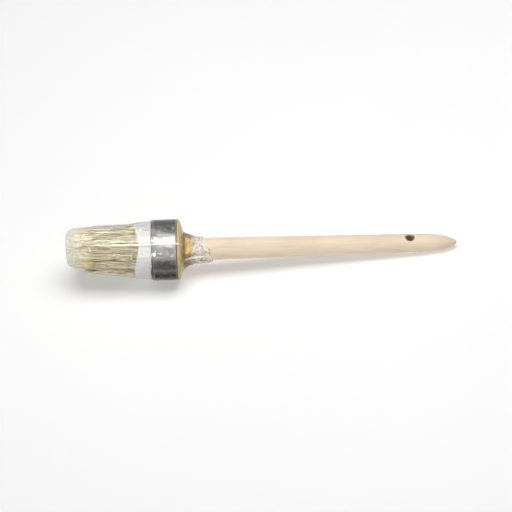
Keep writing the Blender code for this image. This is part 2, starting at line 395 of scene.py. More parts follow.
def beech_material():
    """Bare beech: fine pale grain along its length, short darker flecks, soft blotches, and a darker colour
    deep in the hang hole that is partly end grain and partly painted shade.
    """
    n = Nodes("beech")
    blotch = n.noise((35, 130, 130), detail=3)
    grain = n.noise((60, 1500, 1500), detail=4, roughness=0.6)
    fleck = n.noise((450, 3600, 3600), detail=2)
    colour = n.ramp(grain, (0.30, (0.57, 0.445, 0.325)), (0.62, (0.665, 0.54, 0.405)))
    warm = n.blend(n.span(blotch, 0.35, 0.7), colour, (0.695, 0.575, 0.44))
    flecked = n.blend(n.span(fleck, 0.64, 0.74, 0.0, 0.35), warm, (0.47, 0.32, 0.19))
    # Deep in the hang hole the wood is darker: partly end grain, partly painted shade.
    bore_grain_and_shade = n.blend(n.attribute("bore"), flecked, (0.42, 0.30, 0.18))
    height = n.maths("MULTIPLY_ADD", fleck, 0.6, grain)
    return n.solid(
        Base_Color=bore_grain_and_shade,
        Roughness=n.span(grain, 0.2, 0.8, 0.52, 0.68),
        Normal=n.bump(height, 0.00006, 0.5),
    )


def tinplate_material():
    """Bright plated sheet: faint rolling lines along it, soft clouding and small scuffs."""
    n = Nodes("tinplate")
    lines = n.noise((90, 2600, 2600), detail=3, roughness=0.6)
    cloud = n.noise((260, 260, 260), detail=4)
    scuff = n.noise((1900, 700, 700), detail=4, roughness=0.7)
    colour = n.ramp(cloud, (0.3, (0.52, 0.51, 0.49)), (0.7, (0.64, 0.63, 0.61)))
    worn = n.blend(n.span(scuff, 0.6, 0.75, 0.0, 0.5), colour, (0.36, 0.35, 0.335))
    rough = n.maths("ADD", n.span(cloud, 0.3, 0.7, 0.07, 0.15), n.span(scuff, 0.55, 0.75, 0.0, 0.12))
    height = n.maths("ADD", lines, scuff)
    return n.solid(Base_Color=worn, Metallic=1.0, Roughness=rough, Normal=n.bump(height, 0.00003, 0.35))


def yellow_plastic_material():
    """Moulded yellow plastic, darker and browner where the moulding is thick, and near black in the groove
    where the rim starts, which is painted shade.
    """
    n = Nodes("yellow_plastic")
    cloud = n.noise((300, 300, 300), detail=3)
    specks = n.noise((2400, 2400, 2400), detail=2)
    rim = n.ramp(cloud, (0.3, (0.46, 0.31, 0.075)), (0.7, (0.58, 0.44, 0.15)))
    amber = n.ramp(cloud, (0.35, (0.66, 0.36, 0.06)), (0.65, (0.84, 0.60, 0.27)))
    moulding = n.blend(n.attribute("collar"), rim, amber)
    # Painted shade: the groove where the rim starts is coloured near black.
    colour = n.blend(n.attribute("groove"), moulding, (0.08, 0.055, 0.03))
    return n.solid(
        Base_Color=colour,
        Roughness=n.span(specks, 0.3, 0.7, 0.26, 0.42),
        Subsurface_Weight=0.25,
        Subsurface_Scale=0.002,
        Coat_Weight=0.25,
        Coat_Roughness=0.12,
        Normal=n.bump(specks, 0.00003, 0.4),
    )


def resin_material():
    """Cast amber resin with small bubbles."""
    n = Nodes("resin")
    bubbles = n.noise((1800, 1800, 1800), detail=2)
    colour = n.ramp(bubbles, (0.35, (0.40, 0.20, 0.04)), (0.65, (0.62, 0.37, 0.11)))
    return n.solid(Base_Color=colour, Roughness=0.25, Normal=n.bump(bubbles, 0.0001, 0.5))


def bristle_material():
    """Hog bristle: each strand's shade, brown to cream, darker as painted shade where it lies deep in the
    bundle, and its own warmth, grey-green to gold.
    """
    n = Nodes("hog_bristle")
    streak = n.noise((260, 900, 900), detail=3)
    shade = n.maths("ADD", n.attribute("shade"), n.span(streak, 0.3, 0.7, -0.12, 0.12), clamp=True)
    gold = n.ramp(
        shade,
        (0.0, (0.23, 0.13, 0.055)),
        (0.2, (0.50, 0.37, 0.17)),
        (0.5, (0.80, 0.66, 0.34)),
        (0.78, (0.93, 0.82, 0.51)),
        (1.0, (0.98, 0.93, 0.73)),
    )
    olive = n.ramp(
        shade,
        (0.0, (0.19, 0.17, 0.09)),
        (0.2, (0.42, 0.39, 0.22)),
        (0.5, (0.72, 0.67, 0.36)),
        (0.78, (0.90, 0.84, 0.55)),
        (1.0, (0.97, 0.94, 0.77)),
    )
    colour = n.blend(n.attribute("warmth"), olive, gold)
    return n.solid(Base_Color=colour, Roughness=0.34, Specular_IOR_Level=0.6)


def bristle_core_material():
    """The shaded inside of the bundle, streaked along its length."""
    n = Nodes("bristle_core")
    streak = n.noise((60, 1400, 1400), detail=3)
    colour = n.ramp(streak, (0.3, (0.34, 0.28, 0.16)), (0.7, (0.62, 0.54, 0.35)))
    return n.solid(Base_Color=colour, Roughness=0.6)


def cotton_material():
    """White cotton thread with a little fuzz."""
    n = Nodes("cotton_thread")
    fibre = n.noise((2600, 2600, 2600), detail=4, roughness=0.65)
    soil = n.noise((180, 180, 180), detail=3)
    colour = n.ramp(fibre, (0.3, (0.63, 0.615, 0.605)), (0.66, (0.83, 0.815, 0.805)))
    aged = n.blend(n.span(soil, 0.5, 0.75, 0.0, 0.3), colour, (0.78, 0.75, 0.69))
    return n.solid(
        Base_Color=aged,
        Roughness=0.82,
        Sheen_Weight=0.3,
        Sheen_Roughness=0.4,
        Normal=n.bump(fibre, 0.00005, 0.6),
    )


def film_material():
    """Clear film that only shows by its shine, turns milky where it is gathered, and darkens where it lies
    over itself and, partly as painted shade, over the cap's shoulder.
    """
    n = Nodes("shrink_film")
    crinkle = n.noise((900, 1500, 1500), detail=5, roughness=0.62, distortion=0.6)
    shallow = n.noise((240, 500, 500), detail=3)
    height = n.maths("ADD", crinkle, shallow)
    normal = n.bump(height, 0.00026, 0.6)
    layers_and_shade = n.ramp(n.attribute("layers_and_shade"), (0.0, (1.0, 1.0, 1.0)), (1.0, (0.31, 0.28, 0.255)))
    clear = n.shader("ShaderNodeBsdfTransparent", Color=layers_and_shade)
    shine = n.shader("ShaderNodeBsdfGlossy", Color=(1.0, 1.0, 1.0), Roughness=0.09, Normal=normal)
    edge = n.add("ShaderNodeFresnel", IOR=1.55, Normal=normal).outputs[0]
    skin = n.mix_shaders(n.maths("MULTIPLY", edge, 1.35, clamp=True), clear, shine)
    faint = n.bump(shallow, 0.0001, 0.3)
    white = n.shader(Base_Color=(0.95, 0.925, 0.91), Roughness=0.35, Normal=faint)
    milk = n.maths("MULTIPLY", n.attribute("milk"), n.span(crinkle, 0.35, 0.6, 0.55, 1.0), clamp=True)
    return n.finish(n.mix_shaders(milk, skin, white))


def floor_material():
    """A pale matt sweep."""
    n = Nodes("floor")
    mottle = n.noise((6, 6, 6), detail=2)
    colour = n.ramp(mottle, (0.3, (0.75, 0.75, 0.75)), (0.7, (0.77, 0.77, 0.77)))
    return n.solid(Base_Color=colour, Roughness=0.9, Emission_Color=(1, 1, 1), Emission_Strength=0.405)


# ---------------- pieces


def handle_outline():
    """The turned handle, from its wedge head to its rounded tail."""
    head_x = HANDLE_LOW.x
    cone_end_x = head_x + 16.4 * MM
    tail_x = HANDLE_HIGH.x
    tail = [(tail_x - TAIL_LENGTH, TAIL_RADIUS)]
    tail += [(tail_x - back * MM, radius * MM) for back, radius in TAIL_END]
    tail = smooth_through(tail, 0.5 * MM)
    body = along(
        [
            (head_x, 0.5 * MM),
            (head_x, HEAD_RADIUS - 0.6 * MM),
            (head_x + 0.6 * MM, HEAD_RADIUS - 0.1 * MM),
            (cone_end_x, NECK_RADIUS),
            (tail[0][0], TAIL_RADIUS),
        ],
        1.2 * MM,
    )
    return body[:-1] + [tuple(p) for p in tail]


def handle_wobble(points):
    """Slight unevenness of hand-sanded turned wood."""
    slow = noise_at(points, (38, 11, 11), 3) * 0.07 * MM
    quick = noise_at(points, (5, 4, 4), 5) * 0.012 * MM
    radius = np.linalg.norm(points[..., 1:], axis=-1)
    return (slow + quick) * np.clip(radius / TAIL_RADIUS, 0, 1)


def hang_hole_cutter():
    """A drill with flared ends that follow the round handle, so that the hole's edges come out softened."""
    columns = 48
    angles = np.linspace(0, math.tau, columns, endpoint=False)
    share = (HANDLE_HIGH.x - HANG_HOLE_X - TAIL_LENGTH) / (HANDLE_HIGH.x - HANDLE_LOW.x)
    surface = TAIL_RADIUS + (NECK_RADIUS - TAIL_RADIUS) * share * 1.1
    flare = [(3.75, 1.2), (3.55, 0.12), (3.3, -0.07), (3.12, -0.25), (3.02, -0.5)]
    flare += [(3.0, -depth) for depth in (1.0, 1.8, 2.6, 3.4, 4.2, 5.0)]
    rings = []
    for radius, above in flare:
        y = radius * MM * np.sin(angles)
        top = np.sqrt(surface**2 - y**2) + above * MM
        rings.append(np.stack([HANG_HOLE_X + radius * MM * np.cos(angles), y, top], axis=-1))
    below = [ring * np.array([1, 1, -1]) for ring in reversed(rings)]
    points = np.array(rings + below)
    faces = grid_faces(len(points), columns)
    verts, faces = ring_faces_closed(points.reshape(-1, 3), faces, columns)
    cutter = new_object("hang_hole_cutter", verts, faces, None, body=None)
    face_outward(cutter)
    return cutter


def apply_modifiers(obj):
    """Makes the object's evaluated mesh its own."""
    evaluated = obj.evaluated_get(bpy.context.evaluated_depsgraph_get())
    mesh = bpy.data.meshes.new_from_object(evaluated)
    obj.modifiers.clear()
    obj.data = mesh


def bore_depth(mesh):
    """For each vertex, 1 deep inside the hang hole, 0 outside it, and between them near its ends. It darkens
    the wood there, partly as end grain and partly as painted shade.
    """
    at = np.array([v.co for v in mesh.vertices])
    inside = np.hypot(at[:, 0] - HANG_HOLE_X, at[:, 1]) < HANG_HOLE_RADIUS + 0.05 * MM
    return inside * rise_mm(TAIL_RADIUS - np.abs(at[:, 2]), 0.8, 3.0)


def make_handle():
    """The beech handle, with its hang hole drilled."""
    handle = turned("beech_handle", handle_outline(), 96, beech_material(), wobble=handle_wobble)
    cutter = hang_hole_cutter()
    cut = handle.modifiers.new("hang_hole", "BOOLEAN")
    cut.operation = "DIFFERENCE"
    cut.solver = "EXACT"
    cut.object = cutter
    bpy.context.view_layer.update()
    apply_modifiers(handle)
    bpy.data.objects.remove(cutter)
    handle.data.shade_smooth()
    handle.data.set_sharp_from_angle(angle=math.radians(50))
    # The bore's darker colour is partly end grain and partly painted shade.
    store(handle, "bore", bore_depth(handle.data))
    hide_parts("handle")


def make_ferrule():
    """Rolled sheet ring: a bead and groove at its mouth, a rounded rear edge, and slight dents."""
    x = FERRULE_X
    rear = FERRULE_HIGH.x
    radius = FERRULE_RADIUS
    bead = 0.65 * MM
    wall = 0.5 * MM
    groove = ((1.5, 0.42), (1.8, 0.28), (2.2, 0.06))
    outer = [
        *arc((x + bead, radius - 0.85 * MM), bead, 235, 55, 10),
        *[(x + back * MM, radius - depth * MM) for back, depth in groove],
        (x + 2.6 * MM, radius),
        (rear - 0.3 * MM, radius),
        *arc((rear - 0.3 * MM, radius - 0.3 * MM), 0.3 * MM, 80, 0, 5),
    ]
    inner = [(rear, radius - wall), (x + 2.6 * MM, radius - wall), (x + 1.4 * MM, radius - 1.2 * MM)]
    outline = along([*outer, *inner, outer[0]], 0.35 * MM)[:-1]

    def dents(points):
        """How far unevenness moves the sheet, least at its edges."""
        inside = rise(np.abs(points[..., 0] - (x + rear) / 2), (rear - x) / 2, (rear - x) / 2 - 3 * MM)
        broad = noise_at(points, (6, 5, 5), 11) * 0.13 * MM
        small = noise_at(points, (2.6, 1.8, 1.8), 12) * 0.075 * MM
        along_lines = noise_at(points, (14, 1.2, 1.2), 13) * 0.05 * MM
        return (broad + small) * (0.25 + 0.75 * inside) - 0.05 * MM * inside + along_lines

    ferrule = turned_ring("tinplate_ferrule", outline, 360, tinplate_material(), wobble=dents)
    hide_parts("ferrule")


def make_end_cap():
    """Plastic cap: rim, rounded edge, shoulder and collar, with a groove where the rim starts that is
    coloured dark as painted shade.
    """
    rim_x = FERRULE_HIGH.x + 0.75 * MM
    radius = CAP_HIGH.z
    bore = NECK_RADIUS + 0.3 * MM
    inset = radius - 1.3 * MM
    cavity = 17.6 * MM
    floor_x = 75.0 * MM
    edge = 0.95 * MM
    shoulder = np.array(((77.0, 14.0), (77.35, 12.4), (78.1, 11.2), (79.6, 10.1))) * MM
    outline = [
        (CAP_LOW.x, cavity),
        (CAP_LOW.x, inset),
        (rim_x, inset),
        (rim_x, radius - edge),
        *arc((rim_x + edge, radius - edge), edge, 180, 4, 18),
        *[tuple(p) for p in smooth_through(shoulder, 0.25 * MM)],
        (CAP_HIGH.x - 0.3 * MM, 9.15 * MM),
        (CAP_HIGH.x, 8.9 * MM),
        (CAP_HIGH.x, bore),
        (floor_x, bore),
        (floor_x, cavity),
        (CAP_LOW.x, cavity),
    ]
    outline = np.array(along(outline, 0.5 * MM)[:-1])
    columns = 160
    cap = turned_ring("plastic_end_cap", outline, columns, yellow_plastic_material())
    cap.data.set_sharp_from_angle(angle=math.radians(45))
    x, r = outline.T
    # Where the groove is, for its painted shade.
    groove = rise(r, radius - edge, radius - edge - 0.3 * MM) * (x < rim_x + edge)
    store(cap, "collar", np.repeat(rise_mm(x, 78.2, 80.2), columns))
    store(cap, "groove", np.repeat(groove, columns))
    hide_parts("end_cap")


def tube(name, path, radius, material):
    """A closed tube along a path. Its section has two lobes that turn, as twisted thread's do."""
    sides = 8
    lobes = 0.14
    lobe_pitch = 1.7 * MM
    path = np.asarray(path, float)
    tangent = np.gradient(path, axis=0)
    tangent /= np.linalg.norm(tangent, axis=1)[:, None]
    side = np.cross(tangent[0], (1.0, 0.3, 0.2))
    sides_at = []
    for t in tangent:
        side = side - t * (side @ t)
        side = side / np.linalg.norm(side)
        sides_at.append(side)
    sides_at = np.array(sides_at)
    other = np.cross(tangent, sides_at)
    run = np.concatenate([[0], np.cumsum(np.linalg.norm(np.diff(path, axis=0), axis=1))])
    turn = np.linspace(0, math.tau, sides, endpoint=False)
    twist = math.tau * run / lobe_pitch
    reach = radius * (1 + lobes * np.cos(2 * turn[None] - twist[:, None]))
    points = (
        path[:, None]
        + sides_at[:, None] * (reach * np.cos(turn))[..., None]
        + other[:, None] * (reach * np.sin(turn))[..., None]
    )
    faces = grid_faces(len(path), sides)
    verts, closed = ring_faces_closed(points.reshape(-1, 3), faces, sides)
    obj = new_object(name, verts, closed, material)
    face_outward(obj)
    return obj


def winding_radius(x):
    """How far from the axis the winding's thread runs."""
    return bundle_radius(x) + 0.3 * MM + THREAD_RADIUS


def lashing_nearness(angle):
    """1 at the lashing, falling away to 0 on both sides."""
    return np.exp(-((away_from(angle, SEAM_ANGLE) / WAIST_SPREAD) ** 2))


def pinched(x, angle):
    """Where the winding passes at this angle: its front turns draw back at the lashing."""
    return WINDING_REAR_X - (WINDING_REAR_X - x) * (1 - PINCH * lashing_nearness(angle))


def make_winding(material):
    """The thread's turns, with its loose end turned out at the front edge."""
    per_turn = 330
    bend = 0.9 * MM
    loose = 2.4 * MM
    turn = np.arange(TURNS * per_turn + 1) / per_turn
    front_x = float(pinched(WINDING_FRONT_X, LOOSE_END_ANGLE))
    radius = float(winding_radius(front_x))
    angle = LOOSE_END_ANGLE + bend / radius + math.tau * turn
    even = WINDING_FRONT_X + (WINDING_REAR_X - WINDING_FRONT_X) * turn / TURNS
    unevenness = lattice_noise(np.stack([turn * 5, np.sin(angle), np.cos(angle)], axis=-1), 21)
    x = pinched(even, angle) + unevenness * 0.035 * MM
    piled = PILE * lashing_nearness(angle) * (np.floor(turn) % 2)
    coil = outward(angle) * (winding_radius(x) + piled)[:, None]
    coil[:, 0] = x
    quarter = np.linspace(0, math.pi / 2, 8, endpoint=False)
    bend_x = front_x - bend * (1 - np.sin(quarter))
    bend_angle = LOOSE_END_ANGLE + bend * (1 - np.cos(quarter)) / radius
    reach = np.linspace(loose, bend, 6, endpoint=False)
    end_x = np.concatenate([front_x - reach, bend_x])
    end_angle = np.concatenate([LOOSE_END_ANGLE - 0.02 * (reach / bend - 1) ** 2, bend_angle])
    end = outward(end_angle) * radius
    end[:, 0] = end_x
    thread = tube("thread_winding", np.vstack([end, coil]), THREAD_RADIUS, material)
    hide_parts("binding_winding")


def make_lashing(material):
    """The loop of thread that crosses the winding."""
    over = 2 * THREAD_RADIUS + PILE
    half = 0.45 * MM
    front = WINDING_FRONT_X + 0.4 * MM
    rear = FERRULE_X - 0.2 * MM
    side = [(front + 0.3 * MM, 0.45 * over, half)]
    side += [(x, over, half) for x in np.linspace(front + 1.2 * MM, rear - 0.9 * MM, 5)]
    side += [(rear - 0.35 * MM, 0.5 * over, half)]
    loop = [(x, up, -aside) for x, up, aside in side]
    loop.append((rear, 0.0, 0.0))
    loop += [(x, up, aside) for x, up, aside in reversed(side)]
    loop += [(front - 0.45 * MM, 0.0, 0.1 * MM)]
    points = []
    for x, up, aside in loop:
        radius = float(winding_radius(x)) + up
        point = outward(SEAM_ANGLE + aside / radius) * radius
        point[0] = x
        points.append(point)
    path = smooth_through(points, 0.15 * MM)
    lashing = tube("thread_lashing", path, THREAD_RADIUS * 0.95, material)
    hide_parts("binding_lashing")


def dome_share(across):
    """For points across the bundle, 0 at the flat face's middle and 1 at the bundle's rim."""
    rim = BUNDLE[0][1] * MM
    centre = DOME_OFF_CENTRE * outward(UP_ANGLE)[1:]
    apart = across - centre
    toward = apart @ centre
    spread = rim**2 - DOME_OFF_CENTRE**2
    return (toward + np.sqrt(toward**2 + spread * np.sum(apart**2, axis=-1))) / spread


def dome_x(share):
    """How far back from the flat face the trimmed surface is."""
    return BRISTLE_FRONT_X + DOME_DEPTH * np.clip(share, 0, 1) ** DOME_POWER


def spiral(count, start=0.0):
    """Evenly spread points in a disc of radius 1, as a sunflower's seeds are."""
    i = np.arange(count)
    radius = np.sqrt((i + 0.5) / count)
    angle = i * math.pi * (3 - math.sqrt(5)) + start
    return np.stack([radius * np.cos(angle), radius * np.sin(angle)], axis=-1)


def strand_mesh(name, paths, radii, shades, warmth, spin, material):
    """Three-sided strands along paths (strand, point, 3), closed at both ends."""
    count, length = paths.shape[:2]
    sides = 3
    turn = np.linspace(0, math.tau, sides, endpoint=False)[None] + spin[:, None]
    offset = np.stack([np.zeros_like(turn), np.cos(turn), np.sin(turn)], axis=-1)
    points = paths[:, :, None] + radii[:, :, None, None] * offset[:, None]
    quads = grid_faces(length, sides)
    firsts = np.arange(count) * length * sides
    faces = (firsts[:, None, None] + quads[None]).reshape(-1, 4)
    front = firsts[:, None] + np.array([2, 1, 0])
    rear = firsts[:, None] + (length - 1) * sides + np.array([0, 1, 2])
    mesh_faces = faces.tolist() + front.tolist() + rear.tolist()
    obj = new_object(name, points.reshape(-1, 3), mesh_faces, material)
    store(obj, "shade", np.repeat(shades[:, :, None], sides, axis=2))
    store(obj, "warmth", np.repeat(warmth[:, :, None], sides, axis=2))
    return obj


# How strands bend: the noise's cell in millimetres, how far it moves them, and its seed
STRAND_BENDS = (((12, 2.2, 2.2), 0.7, 31), ((7, 1.5, 1.5), 0.75, 56), ((3.5, 0.35, 0.35), 0.24, 33))


def strands_across(seeds, clumps, sway, x):
    """Where strands at seeds (in a disc of radius 1) lie across the bundle at stations x (strand, point)."""
    freedom = np.clip((FERRULE_X - x) / FERRULE_X, 0, 1)
    pull = 0.6 * freedom**0.8
    across = (seeds[:, None] + (clumps - seeds)[:, None] * pull[..., None]) * bundle_radius(x)[..., None]
    place = np.concatenate([x[..., None], np.repeat(seeds[:, None] * 15 * MM, x.shape[1], axis=1)], axis=-1)
    for cell, reach, seed in STRAND_BENDS:
        bend = np.stack([noise_at(place, cell, seed), noise_at(place, cell, seed + 1)], axis=-1)
        across = across + bend * reach * MM * freedom[..., None] ** 0.6
    across = across + sway[:, None] * freedom[..., None] ** 1.2
    distance = np.linalg.norm(across, axis=-1, keepdims=True)
    limit = bundle_radius(x)[..., None] - 0.1 * MM
    return across * np.minimum(1, limit / np.maximum(distance, 1e-9))


def strand_paths(seeds, clumps, sway, x):
    """The strands' points, leaning as the bundle does."""
    path = np.concatenate([x[..., None], strands_across(seeds, clumps, sway, x)], axis=-1)
    return path + lean(x)[..., None] * outward(UP_ANGLE)


def strand_colours(paths, base):
    """Each strand's shade along it, and its warmth, from 0 to 1. Strands that lie deeper are darker, which
    is painted shade.
    """
    x = paths[..., 0]
    centred = paths - lean(x)[..., None] * outward(UP_ANGLE)
    sunk = 1 - np.linalg.norm(centred[..., 1:], axis=-1) / bundle_radius(x)
    # Painted shade: strands that lie deeper in the bundle are coloured darker.
    painted_depth_shade = 1.8 * sunk * rise_mm(x, 12, 24)
    # Lighter towards the tip: partly the bristles' own paler ends, partly painted light on the bundle's end.
    # A little darker towards the winding.
    toward_tip = 0.66 * rise_mm(x, 18, 5) - 0.12 * rise_mm(x, 24, 46)
    streaks = noise_at(paths, (7, 0.55, 0.55), 36) * 0.58
    patches = noise_at(paths, (16, 6, 6), 37) * 0.10
    shades = np.clip(base[:, None] + toward_tip + streaks + patches - painted_depth_shade, 0, 1)
    warmth = 0.5 + 0.8 * noise_at(paths, (14, 5, 5), 38) + 0.5 * noise_at(paths, (6, 0.8, 0.8), 39)
    return shades, np.clip(warmth, 0, 1)


def make_bristles(material):
    """The bundle: every strand ends on the trimmed dome, and the outer ones show all the way back."""
    rng = np.random.default_rng(7)
    seeds = spiral(STRANDS) + rng.normal(0, 0.006, (STRANDS, 2))
    seeds *= 0.985
    centres = spiral(CLUMPS, start=1.0) + rng.normal(0, 0.012, (CLUMPS, 2))
    centres /= np.maximum(1, np.linalg.norm(centres, axis=1) / 0.97)[:, None]
    clump_of = np.linalg.norm(seeds[:, None] - centres[None], axis=-1).argmin(axis=1)
    clump_shade = rng.normal(0, 0.17, CLUMPS)
    strand_shade = rng.normal(0, 0.17, STRANDS)
    dark = rng.random(STRANDS) < 0.07
    base = 0.67 + clump_shade[clump_of] + strand_shade - 0.38 * dark
    size = rng.uniform(0.13, 0.20, STRANDS) * MM
    spin = rng.uniform(0, math.tau, STRANDS)
    end_scatter = rng.normal(0, 0.3, STRANDS) * MM
    sway = rng.normal(0, 0.9, (CLUMPS, 2))[clump_of] * MM + rng.normal(0, 0.3, (STRANDS, 2)) * MM
    radius_share = np.linalg.norm(seeds, axis=1)
    clumps = centres[clump_of]
    ends = strands_across(seeds, clumps, sway, np.full((STRANDS, 1), 4 * MM))[:, 0]
    tip_x = dome_x(dome_share(ends)) + np.abs(end_scatter) * (0.35 + radius_share)
    outer = radius_share > OUTER_SHARE
    rear_x = np.where(outer, OUTER_END_X, tip_x + INNER_LENGTH)
    for name, chosen, count in (("bristles_outer", outer, 20), ("bristles_inner", ~outer, 6)):
        share = np.linspace(0, 1, count) ** 1.15
        x = tip_x[chosen][:, None] + (rear_x - tip_x)[chosen][:, None] * share
        paths = strand_paths(seeds[chosen], clumps[chosen], sway[chosen], x)
        taper = 0.72 + 0.28 * rise(share, 0, 0.25)
        radii = size[chosen][:, None] * taper[None]
        shades, warmth = strand_colours(paths, base[chosen])
        piece = strand_mesh(name, paths, radii, shades, warmth, spin[chosen], material)
        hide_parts("bristle_pack")


# Dark bristles that lie across the others, along film folds, where they stand in partly for the folds'
# shade: first and last x, first and last angle
DARK_STRAYS = (
    (27.5, 40.5, 72, 55),
    (29.5, 38.5, 70, 60),
    (21.0, 31.0, 37, 42),
    (33.0, 44.0, 42, 45),
    (9.0, 18.0, 40, 28),
)


def make_stray_bristles(material):
    """Loose strands that lie slantwise over the others, inside the film."""
    rng = np.random.default_rng(11)
    share = np.linspace(0, 1, 14)
    start = rng.uniform(17, 36, (STRAYS, 1)) * MM
    x = np.minimum(start + rng.uniform(7, 22, (STRAYS, 1)) * MM * share, 45 * MM)
    slant = rng.normal(0, 0.13, (STRAYS, 1)) * (x - start) + rng.normal(0, 0.7, (STRAYS, 1)) * MM * share**2
    radius = bundle_radius(x) + (0.14 * np.sin(math.pi * share) - 0.1) * MM
    angle = rng.uniform(0, math.tau, (STRAYS, 1)) + slant / radius
    bent = share + 0.12 * np.sin(math.tau * share)
    for i, (first_x, last_x, first_angle, last_angle) in enumerate(DARK_STRAYS):
        x[i] = (first_x + (last_x - first_x) * share) * MM
        angle[i] = np.radians(first_angle + (last_angle - first_angle) * bent)
        radius[i] = bundle_radius(x[i]) + 0.1 * MM * np.sin(math.pi * share)
    path = outward(angle) * radius[..., None]
    path[..., 0] = x
    path += lean(x)[..., None] * outward(UP_ANGLE)
    radii = rng.uniform(0.11, 0.19, (STRAYS, 1)) * MM * (1 - 0.5 * share)[None]
    shades = np.where(rng.random((STRAYS, 1)) < 0.35, 0.18, 0.95) * np.ones_like(x)
    # These dark bristles are partly painted shade along the film folds over them.
    shades[: len(DARK_STRAYS)] = 0.03
    radii[: len(DARK_STRAYS)] = (0.21 * np.sin(math.pi * (0.12 + 0.76 * share)))[None] * MM
    warmth = np.broadcast_to(rng.random((STRAYS, 1)), x.shape)
    strays = strand_mesh("bristles_stray", path, radii, shades, warmth, np.zeros(STRAYS), material)
    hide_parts("bristle_pack")


def make_bristle_core():
    """The bundle's inside, out of sight between the strands, with the pocket for the handle's cone."""
    columns = 72
    rim = BUNDLE[0][1] * MM
    up = outward(UP_ANGLE)
    angles = np.linspace(0, math.tau, columns, endpoint=False)
    rings = []
    for share in (0.05, 0.3, 0.5, 0.65, 0.75, 0.83, 0.86):
        middle = up * DOME_OFF_CENTRE * (1 - share)
        rings.append((float(dome_x(share)) + 4 * MM, middle, rim * share))
    for x in np.linspace(14, 68, 28) * MM:
        rings.append((x, np.zeros(3), float(bundle_radius(x)) * OUTER_SHARE))
    inner = [(69.2, 18.0), (69.2, 9.4), (58.0, 12.0), (50.0, 6.0), (36.0, 0.6)]
    rings += [(x * MM, np.zeros(3), r * MM) for x, r in inner]
    points = []
    for x, middle, radius in rings:
        ring = outward(angles) * radius + middle + up * float(lean(x))
        ring[:, 0] = x
        points.append(ring)
    faces = grid_faces(len(points), columns)
    verts, faces = ring_faces_closed(np.array(points).reshape(-1, 3), faces, columns)
    core = new_object("bristle_core", verts, faces, bristle_core_material())
    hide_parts("bristle_pack")


# Film: (x, radius on the view's upper side, radius on its lower side) in millimetres, behind the dome
FILM_SIDE = (
    (19.0, 16.15, 16.15), (29.0, 16.75, 16.65), (43.0, 17.75, 17.65), (46.0, 18.35, 18.3),
    (48.0, 18.95, 18.9), (55.5, 19.35, 19.35), (57.0, 19.65, 19.6), (58.6, 20.35, 20.3),
    (66.0, 20.4, 20.35), (73.6, 20.4, 20.4), (75.2, 20.15, 20.15), (76.6, 18.2, 18.6),
    (77.8, 14.2, 15.5), (78.7, 11.9, 13.6), (81.0, 10.6, 11.5), (84.5, 9.4, 9.9),
    (88.5, 8.35, 9.5), (93.0, 8.25, 9.4), (97.0, 8.2, 9.2), (98.0, 8.15, 8.75),
)
FILM_GAP = 0.42 * MM
SEAM_HALF_WIDTH = 0.52 * MM
SEAM_HEIGHT = 0.28 * MM
WINDOW_ANGLE = math.radians(30)

# Where the film bends sharply all the way round and turns milky, partly as whitening of the film and partly
# as painted highlight: x, half width, milkiness
FILM_RINGS = (
    (73.4, 0.35, 0.12),
    (77.0, 0.45, 0.12),
    (58.7, 0.60, 0.16),
)

# Folds in the film: x, angle, heading from the axis, half length, half width, height, milkiness
FILM_FOLDS = (
    (86.5, 79, 0, 11.0, 0.85, 0.55, 0.80),
    (57.0, 33, 90, 1.0, 0.70, 0.15, 1.0),
    (45.6, 79, 0, 1.4, 0.55, 0.25, 0.0),
    (16.3, 56, -22, 2.4, 0.55, 0.30, 0.0),
    (13.6, 26, 18, 2.0, 0.55, 0.30, 0.0),
    (26.5, 33, -45, 1.0, 0.32, 0.30, 0.0),
    (40.3, 72, 8, 1.3, 0.38, 0.30, 0.0),
    (35.8, 92, 12, 1.5, 0.40, 0.30, 0.0),
    (34.0, 15, -10, 1.1, 0.30, 0.30, 0.0),
    (31.0, 66, -27, 6.0, 0.50, 0.55, 0.0),
    (33.5, 60, 24, 2.4, 0.40, 0.45, 0.0),
    (36.5, 63, -35, 1.8, 0.35, 0.45, 0.0),
    (14.0, 22, 12, 2.2, 0.50, 0.40, 0.0),
    (24.0, 74, 10, 3.2, 0.40, 0.35, 0.0),
    (24.0, 12, -8, 3.0, 0.40, 0.35, 0.0),
    (31.0, 20, 14, 2.4, 0.35, 0.35, 0.0),
    (40.0, 70, -12, 2.2, 0.35, 0.35, 0.0),
    (9.0, 58, 30, 2.0, 0.40, 0.35, 0.0),
)


def film_points(columns_angles):
    """The smooth film before it crinkles, as rings of points."""
    up = outward(UP_ANGLE)
    rim = BUNDLE[0][1] * MM
    rings = []
    for share in np.concatenate([np.linspace(0.03, 0.7, 26), np.linspace(0.72, 0.99, 46)]):
        slope = DOME_DEPTH * DOME_POWER * share ** (DOME_POWER - 1) / rim
        tilt = math.atan(slope)
        x = float(dome_x(share)) - FILM_GAP * math.cos(tilt)
        radius = rim * share + FILM_GAP * math.sin(tilt)
        rings.append((x, DOME_OFF_CENTRE * (1 - share), radius, radius))
    side = smooth_through(np.array(FILM_SIDE) * MM, 0.42 * MM)
    rings += [(x, 0.0, above, below) for x, above, below in side]
    lower = (1 - np.cos(columns_angles - UP_ANGLE)) / 2
    points = []
    for x, off_centre, above, below in rings:
        radius = above + (below - above) * lower**1.5
        ring = outward(columns_angles) * radius[:, None] + up * (off_centre + float(lean(max(x, 0))))
        ring[:, 0] = x
        points.append(ring)
    return np.array(points)


